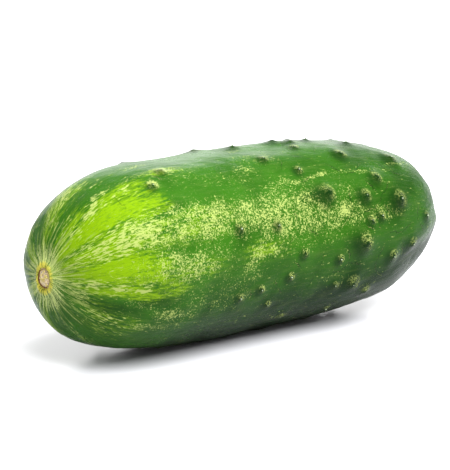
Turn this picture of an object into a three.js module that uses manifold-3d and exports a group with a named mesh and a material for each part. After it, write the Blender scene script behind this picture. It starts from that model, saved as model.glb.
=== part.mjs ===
// A short field cucumber, lying on its side: one solid fruit with a bowed body, two domed ends,
// low warts, a corky blossom scar, a dry stem scar in a dimple and a small ground spot to rest on.
//
// Millimetres, +Z up. X runs from the blossom end (-X) to the stem end (+X), and the fruit bows
// towards +Y. The origin is under the middle of the fruit, on the surface that it lies on.
//
// A place on the skin is given as along, the distance in mm from the blossom tip, and around, the
// angle in degrees about the fruit's axis: 0 faces -Y, 90 is the top, 180 faces +Y, 270 is underneath.

import * as THREE from "three";
import { mergeVertices } from "three/addons/utils/BufferGeometryUtils.js";
import Module from "manifold-3d";

// Body
const LENGTH = 125;
const RADIUS = 23.8;
const TAPER = 0.037; // how much thicker the blossom half is, as a share of the radius
const BOW = 5.4; // how far the middle stands out sideways from the line between the tips
const BLOSSOM_DOME = { share: 0.36, fullness: 3.2 }; // share of the length, and how blunt
const STEM_DOME = { share: 0.48, fullness: 3.5 };

// Facets of the body
const RINGS = 42;
const SECTORS = 44;

// Soft swells and dents: where, how far they reach in mm, and how high they stand
const LUMPS = [
  { along: 20, around: 95, reach: 12, height: 0.3 },
  { along: 25, around: 285, reach: 12, height: -0.5 },
  { along: 45, around: 92, reach: 12, height: -0.4 },
  { along: 52, around: 285, reach: 12, height: 0.7 },
  { along: 64, around: 256, reach: 12, height: 0.5 },
  { along: 78, around: 290, reach: 12, height: 0.5 },
  { along: 97, around: 86, reach: 9, height: -0.3 },
  { along: 106, around: 306, reach: 8, height: 0.5 },
  { along: 112, around: 330, reach: 8, height: -1.3 },
  { along: 115, around: 62, reach: 9, height: 0.9 },
];

// Warts: half width, height, and how far each dome goes down into the body, in mm
const WARTS = {
  small: { halfWidth: 1.2, height: 0.3, root: 0.8 },
  middle: { halfWidth: 1.7, height: 0.55, root: 0.9 },
  large: { halfWidth: 2.3, height: 0.8, root: 1.0 },
};
const WART_SIDES = 8;
const WART_SHOULDER = { out: 0.62, up: 0.72 }; // shares of the half width and of the height
const WART_ROOT_TAPER = 0.9;

// The warts of the side that faces -Y and the top, as [along, around]
const FRONT_WARTS = {
  small: [
    [46, 21], [46, 337], [53, 340], [57, 327], [59, 19], [63, 345], [65, 68], [65, 311], [67, 359],
    [73, 54], [78.5, 78], [80, 332], [80, 351], [82, 307], [91.5, 13], [95.5, 15], [115, 9.5],
  ],
  middle: [
    [26, 61.5], [32, 72], [63, 94], [76, 94], [80, 88], [86, 91], [90, 64.5], [91, 29.5], [92.5, 320],
    [97, 41.5], [97, 83], [100, 344.5], [107, 62], [108, 349],
  ],
  large: [[78, 34], [86, 331], [88.5, 359], [103.5, 25]],
};

// The far side and the underside carry warts in rows that run along the fruit
const FAR_ROWS = 8;
const FAR_ROWS_FROM = 112;
const FAR_ROW_STEP = 24;
const WARTS_PER_ROW = 6;
const ROW_START = 112; // the wart nearest the stem
const ROW_GAP = 11; // the gap between the first two warts; the gaps grow towards the blossom end
const ROW_GAP_GROWTH = 1.2;
const ROW_SHIFT = 5; // every second row starts this much later
const SCATTER = { along: 7, around: 12 };
const SCATTER_SEED = 2026;
const FAR_SIZES = ["small", "middle", "middle", "large"]; // each as likely as the next

// Scars
const BLOSSOM_SCAR = {
  radius: 2.6,
  groove: 0.45,
  grooveDepth: 0.5,
  discDepth: 0.2,
  discFall: 0.1,
  flare: 0.1,
};
const STEM_DIMPLE = { radius: 6, depth: 1.2, flare: 1.15 };
const STEM_DIMPLE_WALL = [[0.55, 1], [0.8, 0.75], [1, 0.35]]; // shares of the radius and of the depth
const STEM_SCAR = {
  radius: 2.9,
  height: 0.7,
  rim: 0.6,
  bevel: 0.24,
  hollow: 0.25,
  hollowSlope: 0.48,
  root: 0.8,
};
const SCAR_SIDES = 28;
const CUT_CLEARANCE = 2; // how far a cut starts outside the tip

// Ground spot
const GROUND_SPOT_DEPTH = 0.35;

const wasm = await Module();
wasm.setup();

// The radius of the body before its swells and dents
function bodyRadius(along) {
  const t = along / LENGTH;
  const girth = RADIUS * (1 - TAPER * (t - 0.5));
  const toBlossom = Math.max(0, 1 - t / BLOSSOM_DOME.share);
  const toStem = Math.max(0, 1 - (1 - t) / STEM_DOME.share);
  const blossomDome = Math.sqrt(1 - toBlossom ** BLOSSOM_DOME.fullness);
  const stemDome = Math.sqrt(1 - toStem ** STEM_DOME.fullness);
  return girth * blossomDome * stemDome;
}

// The fruit's axis at that place: its point, its direction and its two cross directions
function axisFrame(along) {
  const u = (2 * along) / LENGTH - 1;
  const point = new THREE.Vector3(along - LENGTH / 2, BOW * (1 - u * u), 0);
  const direction = new THREE.Vector3(1, (-4 * BOW * u) / LENGTH, 0).normalize();
  const side = new THREE.Vector3().crossVectors(direction, new THREE.Vector3(0, 0, 1)).normalize();
  const up = new THREE.Vector3().crossVectors(side, direction);
  return { point, direction, side, up };
}

// How far the swells and dents move the skin out at that place
function lumpHeight(along, around) {
  let height = 0;
  for (const lump of LUMPS) {
    const turn = THREE.MathUtils.euclideanModulo(around - lump.around + 180, 360) - 180;
    const across = THREE.MathUtils.degToRad(turn) * RADIUS;
    const distance = Math.hypot(along - lump.along, across) / lump.reach;
    height += lump.height * Math.exp(-distance * distance);
  }
  return height;
}

// The point of the skin at that place
function skinPoint(along, around) {
  const { point, side, up } = axisFrame(along);
  const radius = bodyRadius(along);
  const swollen = radius > 0 ? radius + lumpHeight(along, around) : 0;
  const angle = THREE.MathUtils.degToRad(around);
  point.addScaledVector(side, swollen * Math.cos(angle));
  point.addScaledVector(up, swollen * Math.sin(angle));
  return point;
}

// The outward direction of the skin, from two short steps across that place
function skinNormal(along, around) {
  const mm = 0.1;
  const degrees = 0.5;
  const alongStep = skinPoint(along + mm, around).sub(skinPoint(along - mm, around));
  const aroundStep = skinPoint(along, around + degrees).sub(skinPoint(along, around - degrees));
  return alongStep.cross(aroundStep).normalize();
}

// A closed geometry becomes a solid that can be joined and cut
function toSolid(geometry) {
  const shell = geometry.clone();
  shell.deleteAttribute("normal");
  shell.deleteAttribute("uv");
  const merged = mergeVertices(shell);
  const vertProperties = new Float32Array(merged.attributes.position.array);
  const triVerts = new Uint32Array(merged.index.array);
  return new wasm.Manifold(new wasm.Mesh({ numProp: 3, vertProperties, triVerts }));
}

// The faces of a finished solid, as a geometry
function toGeometry(solid) {
  const { vertProperties, triVerts } = solid.getMesh();
  const geometry = new THREE.BufferGeometry();
  geometry.setAttribute("position", new THREE.BufferAttribute(vertProperties, 3));
  geometry.setIndex(new THREE.BufferAttribute(triVerts, 1));
  return geometry;
}

// A turned solid whose axis stands on point and runs along direction
function turnedSolid(profile, sides, point, direction) {
  const geometry = new THREE.LatheGeometry(profile.map(([r, h]) => new THREE.Vector2(r, h)), sides);
  geometry.applyQuaternion(new THREE.Quaternion().setFromUnitVectors(new THREE.Vector3(0, 1, 0), direction));
  geometry.translate(point.x, point.y, point.z);
  return toSolid(geometry);
}

// The bare body: rings about the axis, closer together towards the tips, and a point at each tip
function bodySolid() {
  const positions = [];
  for (let ring = 1; ring < RINGS; ring++) {
    const along = (LENGTH * (1 - Math.cos((Math.PI * ring) / RINGS))) / 2;
    for (let sector = 0; sector < SECTORS; sector++) {
      positions.push(...skinPoint(along, (360 * sector) / SECTORS));
    }
  }
  const blossomTip = positions.length / 3;
  positions.push(...skinPoint(0, 0));
  const stemTip = blossomTip + 1;
  positions.push(...skinPoint(LENGTH, 0));

  const faces = [];
  const lastRing = (RINGS - 2) * SECTORS;
  for (let sector = 0; sector < SECTORS; sector++) {
    const next = (sector + 1) % SECTORS;
    faces.push(blossomTip, sector, next);
    faces.push(stemTip, lastRing + next, lastRing + sector);
    for (let ring = 0; ring < RINGS - 2; ring++) {
      const near = ring * SECTORS;
      const far = near + SECTORS;
      faces.push(near + sector, far + sector, near + next);
      faces.push(near + next, far + sector, far + next);
    }
  }
  const geometry = new THREE.BufferGeometry();
  geometry.setAttribute("position", new THREE.Float32BufferAttribute(positions, 3));
  geometry.setIndex(faces);
  return toSolid(geometry);
}

// One wart: a low dome on the skin, rooted in the body
function wartSolid(along, around, { halfWidth, height, root }) {
  const profile = [
    [0, -root],
    [halfWidth * WART_ROOT_TAPER, -root],
    [halfWidth, 0],
    [halfWidth * WART_SHOULDER.out, height * WART_SHOULDER.up],
    [0, height],
  ];
  return turnedSolid(profile, WART_SIDES, skinPoint(along, around), skinNormal(along, around));
}

// Even numbers from 0 to 1, the same in every run
function seededNumbers(seed) {
  const factor = 16807;
  const modulus = 2147483647;
  let state = seed;
  return () => {
    state = (state * factor) % modulus;
    return state / modulus;
  };
}

// The warts of the far side and the underside, as [along, around, size]
function farWarts() {
  const random = seededNumbers(SCATTER_SEED);
  const warts = [];
  for (let row = 0; row < FAR_ROWS; row++) {
    for (let place = 0; place < WARTS_PER_ROW; place++) {
      const stemward = ROW_START - ROW_GAP * place ** ROW_GAP_GROWTH - ROW_SHIFT * (row % 2);
      const along = stemward + SCATTER.along * (random() - 0.5);
      const around = FAR_ROWS_FROM + FAR_ROW_STEP * row + SCATTER.around * (random() - 0.5);
      const size = FAR_SIZES[Math.floor(FAR_SIZES.length * random())];
      warts.push([along, around, size]);
    }
  }
  return warts;
}

// Every wart of the fruit
function wartSolids() {
  const solids = [];
  for (const [size, places] of Object.entries(FRONT_WARTS)) {
    for (const [along, around] of places) solids.push(wartSolid(along, around, WARTS[size]));
  }
  for (const [along, around, size] of farWarts()) solids.push(wartSolid(along, around, WARTS[size]));
  return solids;
}

// What is cut from the blossom tip: a flat seat for the corky disc, with a ring groove round it
function blossomScarCut() {
  const { radius, groove, grooveDepth, discDepth, discFall, flare } = BLOSSOM_SCAR;
  const { point, direction } = axisFrame(0);
  const profile = [
    [0, -discDepth],
    [radius - groove, -discDepth - discFall],
    [radius - groove / 2, -grooveDepth],
    [radius, -discDepth],
    [radius + flare, CUT_CLEARANCE],
    [0, CUT_CLEARANCE],
  ];
  return turnedSolid(profile, SCAR_SIDES, point, direction.negate());
}

// What is cut from the stem tip: a round dimple with soft walls
function stemDimpleCut() {
  const { radius, depth, flare } = STEM_DIMPLE;
  const { point, direction } = axisFrame(LENGTH);
  const wall = STEM_DIMPLE_WALL.map(([out, down]) => [radius * out, -depth * down]);
  const profile = [[0, -depth], ...wall, [radius * flare, CUT_CLEARANCE], [0, CUT_CLEARANCE]];
  return turnedSolid(profile, SCAR_SIDES, point, direction);
}

// The dry stem scar: a low button with a rim, standing in the dimple
function stemScarSolid() {
  const { radius, height, rim, bevel, hollow, hollowSlope, root } = STEM_SCAR;
  const { point, direction } = axisFrame(LENGTH);
  const foot = -STEM_DIMPLE.depth;
  const profile = [
    [0, foot - root],
    [radius, foot - root],
    [radius, foot],
    [radius - bevel, foot + height],
    [radius - rim, foot + height],
    [radius - rim - hollowSlope, foot + height - hollow],
    [0, foot + height - hollow],
  ];
  return turnedSolid(profile, SCAR_SIDES, point, direction);
}

// What is cut from the underside, so that the fruit rests on a small flat
function groundSpotCut(lowest) {
  const size = LENGTH * 2;
  const geometry = new THREE.BoxGeometry(size, size, size);
  geometry.translate(0, 0, lowest + GROUND_SPOT_DEPTH - size / 2);
  return toSolid(geometry);
}

// The whole fruit, set over the origin on its ground spot
function cucumberGeometry() {
  const body = bodySolid();
  const lowest = body.boundingBox().min[2];
  let fruit = body;
  for (const wart of wartSolids()) fruit = fruit.add(wart);
  fruit = fruit.subtract(blossomScarCut()).subtract(stemDimpleCut()).add(stemScarSolid());
  fruit = fruit.subtract(groundSpotCut(lowest));
  const geometry = toGeometry(fruit);
  geometry.computeBoundingBox();
  const { min, max } = geometry.boundingBox;
  geometry.translate(-(min.x + max.x) / 2, -(min.y + max.y) / 2, -min.z);
  return geometry;
}

const skin = new THREE.MeshStandardMaterial({ color: 0x5f9330, roughness: 0.38, metalness: 0 });

const cucumber = new THREE.Mesh(cucumberGeometry(), skin);
cucumber.name = "cucumber";

const part = new THREE.Group();
part.add(cucumber);

export default part;
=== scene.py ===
"""A short field cucumber: its warty speckled skin, its blossom and stem scars, and a studio stage.

The fruit lies along X, blossom end at -X. A place on the skin is given as along, the distance in mm
from the blossom tip, and around, the angle in degrees about the fruit's axis: 0 faces -Y, 90 is the
top, 180 faces +Y and 270 is underneath.
"""

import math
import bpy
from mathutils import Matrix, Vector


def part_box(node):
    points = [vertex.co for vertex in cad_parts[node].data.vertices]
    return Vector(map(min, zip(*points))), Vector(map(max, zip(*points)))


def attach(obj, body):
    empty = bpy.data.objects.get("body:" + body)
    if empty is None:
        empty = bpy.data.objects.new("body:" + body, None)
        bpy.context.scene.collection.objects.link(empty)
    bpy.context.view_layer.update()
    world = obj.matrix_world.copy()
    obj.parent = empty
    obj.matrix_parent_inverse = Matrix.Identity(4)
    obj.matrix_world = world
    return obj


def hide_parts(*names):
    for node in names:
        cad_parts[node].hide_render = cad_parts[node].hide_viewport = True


bl_info = {
    "name": "Field Cucumber",
    "version": (1, 0, 0),
    "blender": (4, 5, 0),
    "location": "View3D > Sidebar > Cucumber",
    "description": "Builds a short field cucumber with warts, speckled skin and scars, on a studio stage",
    "category": "Add Mesh",
}

import bpy
import numpy as np
from bpy.props import FloatProperty, FloatVectorProperty, IntProperty, PointerProperty
from mathutils import Quaternion, Vector

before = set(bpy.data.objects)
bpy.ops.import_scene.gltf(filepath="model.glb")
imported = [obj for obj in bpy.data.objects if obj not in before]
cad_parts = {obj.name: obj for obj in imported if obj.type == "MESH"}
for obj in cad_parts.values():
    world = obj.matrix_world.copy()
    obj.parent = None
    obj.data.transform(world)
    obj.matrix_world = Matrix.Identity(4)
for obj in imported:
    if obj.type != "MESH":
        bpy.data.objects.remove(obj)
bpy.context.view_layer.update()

NODE = "cucumber"
MM = 0.001

# The body, in mm
LENGTH = 125
RADIUS = 23.8
TAPER = 0.037
BOW = 5.4
BLOSSOM_DOME = (0.36, 3.2)  # share of the length, and how blunt
STEM_DOME = (0.48, 3.5)
GROUND_SPOT_DEPTH = 0.35
SWELL_HEIGHT = 0.10
RIPPLE_HEIGHT = 0.03
RIB_WANDER = 7  # degrees

# Swells and dents of the whole body, as (along, around, reach, height)
LUMPS = [
    (6, 239, 9, 0.9),
    (20, 95, 12, 0.3),
    (25, 285, 12, -0.5),
    (45, 92, 12, -0.4),
    (52, 285, 12, 0.7),
    (64, 256, 12, 0.5),
    (78, 290, 12, 0.5),
    (97, 86, 9, -0.3),
    (106, 306, 8, 0.5),
    (112, 330, 8, -1.3),
    (115, 62, 9, 0.9),
]

# Half width and height of each size of wart
WART_SIZES = {"small": (1.2, 0.3), "middle": (1.7, 0.55), "large": (2.3, 0.8)}

# A wart is a mound with a crown on it: each one's share of the height and reach in half widths
WART_MOUND = (1.05, 1.5)
WART_CROWN = (0.45, 0.75)
NO_WART = 9.0  # in half widths, further than any wart shows

# The warts of the side that faces -Y and the top, as (along, around, how pale its flecks are)
FRONT_WARTS = {
    "small": [
        (26, 61.5, 1.7), (32, 72, 1.3), (46, 21, 0.3), (46, 337, 0.8), (53, 340, 1.0), (57, 327, 0.9),
        (59, 19, 0.2), (63, 345, 1.0), (65, 68, 0.7), (65, 311, 0.8), (67, 359, 1.0), (73, 54, 0.8),
        (78.5, 78, 0.6), (80, 332, 0.6), (80, 351, 1.0), (82, 307, 0.7), (91.5, 13, 0.9), (95.5, 15, 0.9),
        (115, 9.5, 0.5),
    ],
    "middle": [
        (63, 94, 0.5), (76, 94, 0.3), (80, 88, 0.3), (86, 91, 0.3), (90, 64.5, 0.6), (91, 29.5, 0.6),
        (92.5, 320, 0.7), (97, 41.5, 0.6), (97, 83, 0.3), (100, 344.5, 0.7), (107, 62, 0.4),
        (108, 349, 0.6),
    ],
    "large": [(78, 34, 0.5), (86, 331, 0.5), (88.5, 359, 0.7), (103.5, 25, 0.5)],
}

# The far side and the underside carry warts in rows that run along the fruit
FAR_ROWS = 8
FAR_ROWS_FROM = 112
FAR_ROW_STEP = 24
WARTS_PER_ROW = 6
ROW_START = 112
ROW_GAP = 11
ROW_GAP_GROWTH = 1.2
ROW_SHIFT = 5
SCATTER_ALONG = 7
SCATTER_AROUND = 12
SCATTER_SEED = 2026

# Patches of fine pale speckles: (along, around, reach along in mm, reach around in degrees, density)
SPECKLE_PATCHES = [
    # the broad band of the near side
    (18, 31, 7, 12, 0.85), (28, 31, 9, 13, 0.9), (38, 30, 8, 11.5, 1.0), (49, 28, 8, 12.5, 1.0),
    (59, 25, 8, 15.5, 1.0), (68, 25, 8, 15.5, 0.95), (76, 19, 7, 8.5, 0.95), (84, 21, 6.5, 9.5, 0.9),
    (84, 35, 5, 6, 0.55), (90, 16, 5, 5.5, 0.6), (96.5, 20, 4, 4.5, 0.65), (101, 16, 6, 3.5, 0.8),
    (111, 16, 7, 1.8, 0.4),
    # the thread above it
    (64, 44, 6, 3.5, 0.6), (69, 46.5, 5, 3, 0.85), (77, 48.5, 5, 1.8, 1.0), (85, 48, 6, 2.2, 0.5),
    (92, 48.5, 4, 1.8, 0.75), (97.5, 51.5, 3.5, 1.6, 0.65), (103, 50, 2.5, 1.8, 0.6),
    (108, 55.5, 4, 1.8, 0.85), (114, 60, 4.5, 2, 0.6),
    # its open lower edge
    (15, 5, 5, 9, 0.45), (22, 7, 6, 10, 0.9), (30, 5, 7, 10, 0.9), (37, 9, 7, 5, 0.5),
    (22, -8, 3.5, 3.5, 0.45), (28, -10, 6, 8, 0.35), (34, -3, 5, 3, 0.5), (44, 4, 4, 4, 0.3),
    (49, -2, 3.2, 5, 0.85), (50, -9, 3, 4, 0.65), (54, 5, 6, 5.5, 0.85), (60, 6, 5, 6.5, 0.6),
    (68, 6, 7, 5, 0.4), (78, 5.5, 7, 4, 0.4), (88.5, 4, 2.4, 2.4, 0.6),
    # below it
    (14, -17, 4, 4, 0.5), (22, -25, 4.5, 4.5, 1.0), (28, -28, 5, 4.5, 0.6), (31, -18, 6, 7, 0.5),
    (43, -12, 7, 8, 0.42), (41, -24, 6, 7, 0.38), (47, -22, 3, 3.2, 0.65), (17, -37, 5, 3.5, 0.7),
    (23, -36, 5, 4.5, 0.7), (35, -39, 5, 5, 0.25), (64, -48.5, 3.2, 3.4, 0.8),
    (79, -21.5, 3.5, 2.4, 0.55), (92.5, -36, 2.2, 2.6, 0.5),
    # the top
    (25.5, 62, 1.8, 4, 0.9), (24, 74, 5, 2.6, 0.7), (32.5, 72.5, 5, 4, 1.0), (38, 69, 6, 3.5, 0.45),
    (36, 64, 6, 5, 0.35), (43, 60, 6, 5, 0.35), (50, 57, 7, 7, 0.35), (56, 62, 3, 5, 0.65),
    (63, 70, 6, 7, 0.5), (28, 88, 3.5, 3.5, 0.75), (61.5, 87, 2.5, 4, 0.65), (79, 78, 2, 2.5, 0.5),
    (73, 54, 1.8, 2, 0.7),
    # the far side
    (16, 112, 9, 7, 0.6), (34, 110, 9, 6, 0.5), (52, 107, 8, 5, 0.4), (18, 147, 8, 9, 0.7),
    (32, 147, 10, 11, 0.95), (48, 148, 10, 11, 1.0), (63, 150, 9, 9, 0.9), (78, 151, 9, 6, 0.7),
    (93, 153, 8, 4, 0.5), (22, 181, 9, 8, 0.6), (38, 182, 8, 7, 0.45), (58, 180, 9, 5, 0.3),
    (20, 216, 9, 9, 0.75), (36, 215, 10, 9, 0.9), (52, 214, 9, 8, 0.7), (70, 213, 9, 5, 0.5),
    (90, 212, 8, 3, 0.35), (20, 251, 9, 7, 0.55), (40, 250, 9, 6, 0.4), (60, 250, 9, 4, 0.2),
]

# Patches of pale dashes that run along the fruit, near the blossom end, in the same form
DASH_PATCHES = [
    (4, 30, 4, 9, 0.8), (10, 29, 6, 10, 0.95), (17, 31, 6, 11, 0.85), (25, 31, 8, 12, 0.35),
    (5, 42, 4, 5, 0.7), (12, 40.5, 4, 4, 0.75), (5, 62, 4, 9, 0.5), (10, 67, 4, 5, 0.9),
    (17, 66, 4, 4, 0.7), (5, 78, 3, 4, 0.5), (14, 74.5, 3.5, 2.6, 0.85), (8, 104, 7, 9, 0.85),
    (15, 90, 6, 6, 0.3), (4, -2, 4, 5.5, 1.0), (9.5, -7, 1.7, 1.4, 1.2), (14, -7, 2.6, 1.6, 1.4),
    (15, -3, 1.6, 1.2, 1.0), (10, -3.5, 1.8, 1.2, 0.9), (8, 6, 6, 7, 0.28), (2.5, -18, 3, 9, 0.9),
    (7, -12, 3, 3, 0.45), (8, -35, 5, 6.5, 0.7), (9, -48, 5, 7, 0.35), (3.5, -44, 4, 12, 0.35),
    (16, -36, 5, 5, 0.3), (8, 130, 7, 8, 0.5), (9, 148, 8, 9, 0.8), (18, 147, 8, 10, 0.6),
    (8, 182, 8, 8, 0.7), (8, 214, 8, 9, 0.9), (18, 216, 8, 9, 0.5), (8, 250, 8, 8, 0.7),
    (7, 282, 6, 7, 0.6),
]

# Patches at the blossom end that lack the dark green, in the same form
LIME_PATCHES = [
    (9, 53, 10, 9.5, 1.2), (16, 50, 7, 8.5, 1.0), (21, 46, 4.5, 6, 0.6), (7, 30, 9, 13, 0.95),
    (16, 31, 8, 11, 0.5), (30, 30, 14, 11, 0.25), (8, 9, 8, 11, 1.2), (15, 5, 6, 10, 0.8),
    (11, -8, 8, 5, 1.0), (21, -3, 6, 8, 0.55), (30, 2, 9, 8, 0.25), (5, 70, 5, 10, 0.6),
    (13, 65, 9, 6, 0.85), (19, 68, 5, 5, 0.5), (8, 104, 8, 10, 0.65), (8, -36, 6, 7, 0.35),
    (7, -50, 7, 9, 0.2), (4, -20, 5, 8, 0.25), (32, 72, 6, 5, 0.35), (54, 5, 7, 6, 0.3),
    (9, 148, 10, 10, 1.0), (19, 147, 9, 9, 0.7), (9, 214, 9, 9, 0.95), (19, 215, 9, 8, 0.6),
    (9, 252, 8, 8, 0.7), (8, 182, 8, 6, 0.5),
]

# Patches of the deepest green, in the same form. The first four are the skin's own colour; the last four,
# beside warts on their blossom side or below them, are painted shade of the wart mounds.
DEEP_AND_SHADE_PATCHES = [
    (8, -24, 6, 6.5, 0.5), (18, -15, 5, 5, 0.45), (11, 85, 8, 6, 0.25), (27, 44, 4, 3.5, 0.4),
    (73, 31, 5, 5, 0.5), (46.5, 17, 3, 6, 0.35), (86, -1, 4, 6, 0.35), (104, 22, 3, 5, 0.3),
]

# Each kind of patch, and how crisply its patches end
PATCH_KINDS = {
    "speckled": (SPECKLE_PATCHES, 4),
    "dashed": (DASH_PATCHES, 3),
    "lime": (LIME_PATCHES, 2.5),
    "deep": (DEEP_AND_SHADE_PATCHES, 2.5),
}
PATCH_WANDER = (0.8, 1.2)  # how far the patches' edges wander, along in mm and around in degrees
PATCH_WANDER_LENGTH = 12
CLUMPING = 0.3  # how unevenly speckles and dashes fill their patches
STRAY_SPECKLES = 0.10  # between the patches
PAINT_MOST = 1.5

# The ground spot: its middle and its reach, each along in mm and around in degrees
GROUND_SPOT_CENTRE = (62, 268)
GROUND_SPOT_REACH = (36, 15)
GROUND_SPOT_STRENGTH = 0.75

# Scars, in mm
BLOSSOM_SCAR_RADIUS = 2.55
BLOSSOM_SCAR_WIDTH = 0.80  # its width from side to side, as a share of its height
BLOSSOM_SCAR_CENTRE = (-0.75, -0.45)  # to the side, and up
BLOSSOM_SEAT_DEPTH = 0.5
BLOSSOM_SEAT_MARGIN = 0.35  # from the edge of the scar to the edge of its seat
BLOSSOM_SEAT_WALL = 0.5
BLOSSOM_SCAR_LEVEL = -0.25  # where its face lies, seen from the tip of the fruit
BLOSSOM_SCAR_ROOT = 0.25  # how far it reaches below its seat
# Where the painted shade in the blossom scar's dark edge is widest and darkest
SCAR_SHADED_SIDE = -35  # degrees round the blossom scar, from its side towards its top
STEM_DIMPLE_RADIUS = 6.5
STEM_DIMPLE_DEPTH = 1.2
STEM_DIMPLE_WALL = 3.2
STEM_SCAR_RADIUS = 2.8
STEM_SCAR_LEVEL = -0.75
STEM_SCAR_ROOT = 0.6
STEM_END = 20  # how much of the fruit counts as its stem end
FAR_OFF = 99.0  # stands for the distance from a scar at the other end

# Rings of skin round the scars, as (height, distance from the scar's middle, half width)
BLOSSOM_LIP = (0.22, 3.4, 0.6)
BLOSSOM_DIP = (-0.25, 5.6, 1.6)
STEM_SHOULDER = (0.35, 8, 2.5)

# Wrinkles round the blossom scar: share of the height, number, wander in degrees, its wavelength and seed
WRINKLES = [(1.0, 23, 50, 40, 11), (0.6, 37, 90, 30, 12)]
WRINKLE_HEIGHT = 0.045
WRINKLE_RISE = (2.9, 4.1)  # distance from the scar's middle where they start, and where they are full
WRINKLE_FADE = (15, 5)  # where they end, and where they are still full

# Spine stubs, in mm
STUB_RADIUS = 0.14
STUB_RADIUS_STEP = 0.02
STUB_PROFILE = [(1.0, -0.3), (1.0, 0.02), (0.85, 0.12), (0.5, 0.14), (0.25, 0.10)]  # radius share, height
STUB_FOOT = -0.3
STUB_HOLLOW = 0.08
STUB_SINK = 0.04  # how deep it stands in its wart, as a share of the wart's height

# Finishes: roughness, and the depth of fine relief in m
SKIN_IOR = 1.16
SKIN_ROUGHNESS = (0.29, 0.46)  # of the bare wax, and of the warts' tips
CORK_ROUGHNESS = 0.8
SPINE_ROUGHNESS = 0.5
FLOOR_ROUGHNESS = (0.22, 0.28)
LEATHER_DEPTH = 0.00007
CRUMB_DEPTH = 0.0003
GROOVE_DEPTH = 0.00012
CORK_DEPTH = 0.00015
SPINE_DEPTH = 0.00005

# Stage, in m
FLOOR_HALF_WIDTH = 3.0
SURROUNDINGS_STRENGTH = 0.45
CAMERA_AIM = (-0.0039, -0.0006, 0.0015)  # from the middle of the fruit

# Soft boxes: name, place from the middle of the fruit, size, power in W, whether it lights and gleams
LAMPS = [
    ("lamp_top", (0.10, -0.58, 1.10), (1.2, 1.2), 50.0, True, False),
    ("lamp_right", (0.75, -0.20, 0.60), (0.3, 0.3), 3.5, True, False),
    ("lamp_back", (0.80, 1.00, 0.42), (1.6, 0.7), 9.0, False, True),
]


# Properties ---------------------------------------------------------------------------------------


def colour_property(name, description, default):
    return FloatVectorProperty(
        name=name, description=description, default=default, subtype="COLOR", min=0, max=1
    )


class CucumberForm(bpy.types.PropertyGroup):
    """Sizes that a maker may change. The fruit always fills the length of its frame's box."""

    skin_step: FloatProperty(
        name="Skin Step",
        description="Distance between neighbouring points of the skin mesh",
        default=0.00053,
        min=0.0004,
        unit="LENGTH",
    )
    wart_height: FloatProperty(
        name="Wart Height", description="Scales the height of every wart", default=1.0, min=0, max=2
    )
    rib_depth: FloatProperty(
        name="Rib Depth",
        description="Height of the soft ribs that run along the fruit",
        default=0.00016,
        min=0,
        unit="LENGTH",
    )
    ribs: IntProperty(name="Ribs", description="Number of soft ribs", default=10, min=3, max=20)


class CucumberColours(bpy.types.PropertyGroup):
    """Colours of the skin, the scars and the spine stubs."""

    # Deep Green also serves as painted shade: over the underside, beside the warts and on one side of them
    deep_green: colour_property("Deep Green", "Skin of the stem end and underneath", (0.003, 0.019, 0.002))
    green: colour_property("Green", "Skin of the middle", (0.024, 0.100, 0.005))
    lime: colour_property("Lime", "Skin near the blossom scar, with no dark green", (0.150, 0.275, 0.002))
    speckle: colour_property("Speckle", "Pale flecks in the skin", (0.305, 0.370, 0.100))
    cream: colour_property("Cream", "The halo round the scars", (0.520, 0.600, 0.210))
    yellow: colour_property("Yellow", "The ring that touches the blossom scar", (0.640, 0.560, 0.060))
    ground_spot: colour_property("Ground Spot", "Where the fruit lay on the soil", (0.300, 0.330, 0.070))
    cork: colour_property("Cork", "Dry tissue of the scars", (0.440, 0.270, 0.090))
    cork_pale: colour_property("Pale Cork", "Raised tissue of the scars", (0.800, 0.660, 0.420))
    cork_grey: colour_property("Grey Cork", "Weathered flecks of the scars", (0.420, 0.380, 0.300))
    cork_dark: colour_property("Dark Cork", "Cracks and torn edges of the scars", (0.150, 0.060, 0.006))
    spine: colour_property("Spine", "Hollows of the spine stubs", (0.160, 0.240, 0.100))
    spine_pale: colour_property("Pale Spine", "Mottles of the spine stubs", (0.460, 0.540, 0.380))


class CucumberStage(bpy.types.PropertyGroup):
    """Camera and studio."""

    azimuth: FloatProperty(
        name="Azimuth",
        description="Where the camera stands round the fruit, 0 looking along +Y",
        default=math.radians(-37.24),
        subtype="ANGLE",
    )
    elevation: FloatProperty(
        name="Elevation",
        description="Camera height above the horizon",
        default=math.radians(12.82),
        subtype="ANGLE",
    )
    distance: FloatProperty(
        name="Distance", description="From the camera to its aim", default=0.56, min=0.1, unit="LENGTH"
    )
    roll: FloatProperty(
        name="Roll",
        description="How far the camera leans to its side",
        default=math.radians(-0.2),
        subtype="ANGLE",
    )
    lens: FloatProperty(name="Lens", description="Focal length in mm", default=164.5, min=20)
    floor: colour_property("Floor", "Colour of the floor", (0.66, 0.66, 0.69))
    light: FloatProperty(name="Light", description="Scales every lamp", default=1.0, min=0)


# Shape --------------------------------------------------------------------------------------------


def seeded_numbers(seed):
    """Even numbers from 0 to 1, the same in every run."""
    factor, modulus = 16807, 2147483647
    state = seed
    while True:
        state = state * factor % modulus
        yield state / modulus


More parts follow.
